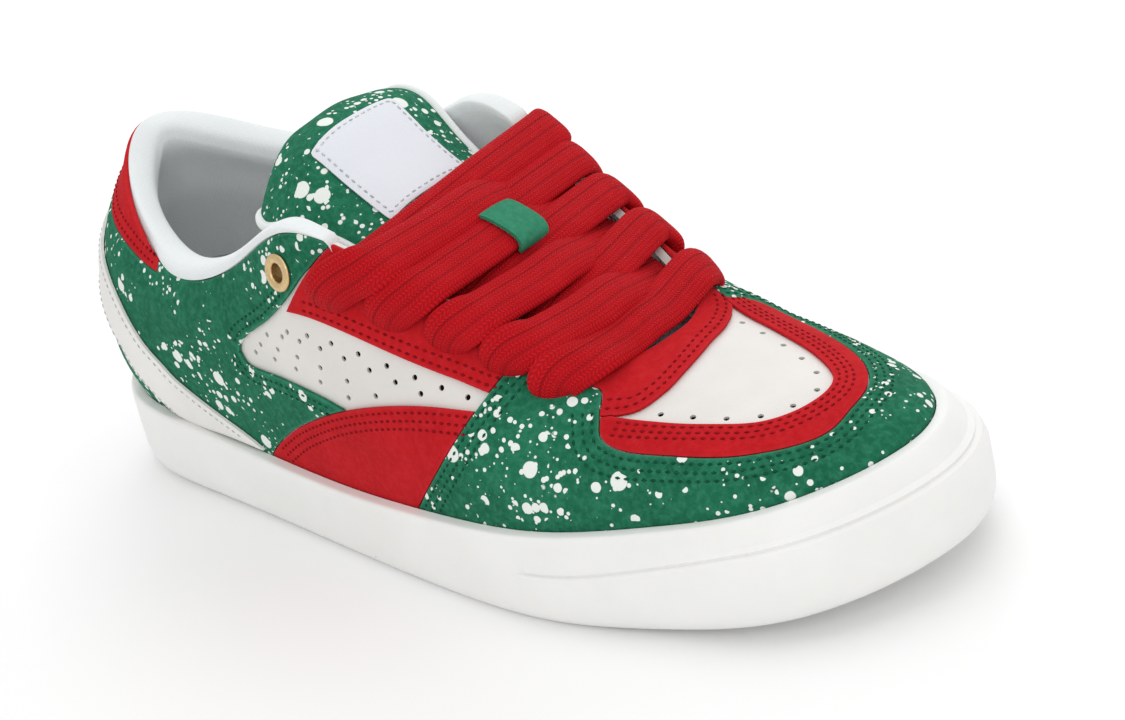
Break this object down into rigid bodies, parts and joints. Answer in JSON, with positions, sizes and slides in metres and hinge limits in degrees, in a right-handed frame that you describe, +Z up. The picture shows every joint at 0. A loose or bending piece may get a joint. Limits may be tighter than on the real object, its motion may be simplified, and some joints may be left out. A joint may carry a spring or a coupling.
{
  "type": "skateboarding shoe",
  "caption": "Low laced skateboarding shoe with a cup sole, suede panels, a padded collar and tongue, for the right foot.",
  "frame": {"origin": "middle of the sole's box, on the floor", "axes": "+X from heel to toe, +Y to the inner side of the foot, +Z up"},
  "size_m": [0.3002, 0.1088, 0.1085],
  "materials": {
    "collar_lining": "padded knit cloth",
    "cup_sole": "smooth satin rubber",
    "eyelet_lateral": "pale gilt metal",
    "eyelet_medial": "pale gilt metal",
    "eyestay_lateral": "red suede",
    "eyestay_medial": "red suede",
    "heel_band": "smooth white leather",
    "heel_tab": "red suede",
    "insole": "cloth over foam",
    "lace_keeper": "green suede",
    "laces": "woven flat lace",
    "quarter_lateral": "green suede with light splatter",
    "quarter_medial": "green suede with light splatter",
    "saddle_lateral": "red suede",
    "saddle_medial": "red suede",
    "throat_tab": "red suede",
    "toe_mudguard": "green suede with light splatter",
    "tongue": "padded cloth with a light binding",
    "tongue_label": "woven cloth",
    "upper": "smooth white leather",
    "vamp_trim": "red suede"
  },
  "bodies": {
    "root": {"collar_lining": "collar_lining", "cup_sole": "cup_sole", "eyelet_lateral": "eyelet_lateral", "eyelet_medial": "eyelet_medial", "eyestay_lateral": "eyestay_lateral", "eyestay_medial": "eyestay_medial", "heel_band": "heel_band", "heel_tab": "heel_tab", "insole": "insole", "lace_keeper": "lace_keeper", "laces": "laces", "quarter_lateral": "quarter_lateral", "quarter_medial": "quarter_medial", "saddle_lateral": "saddle_lateral", "saddle_medial": "saddle_medial", "throat_tab": "throat_tab", "toe_mudguard": "toe_mudguard", "tongue": "tongue", "tongue_label": "tongue_label", "upper": "upper", "vamp_trim": "vamp_trim"}
  },
  "joints": []
}
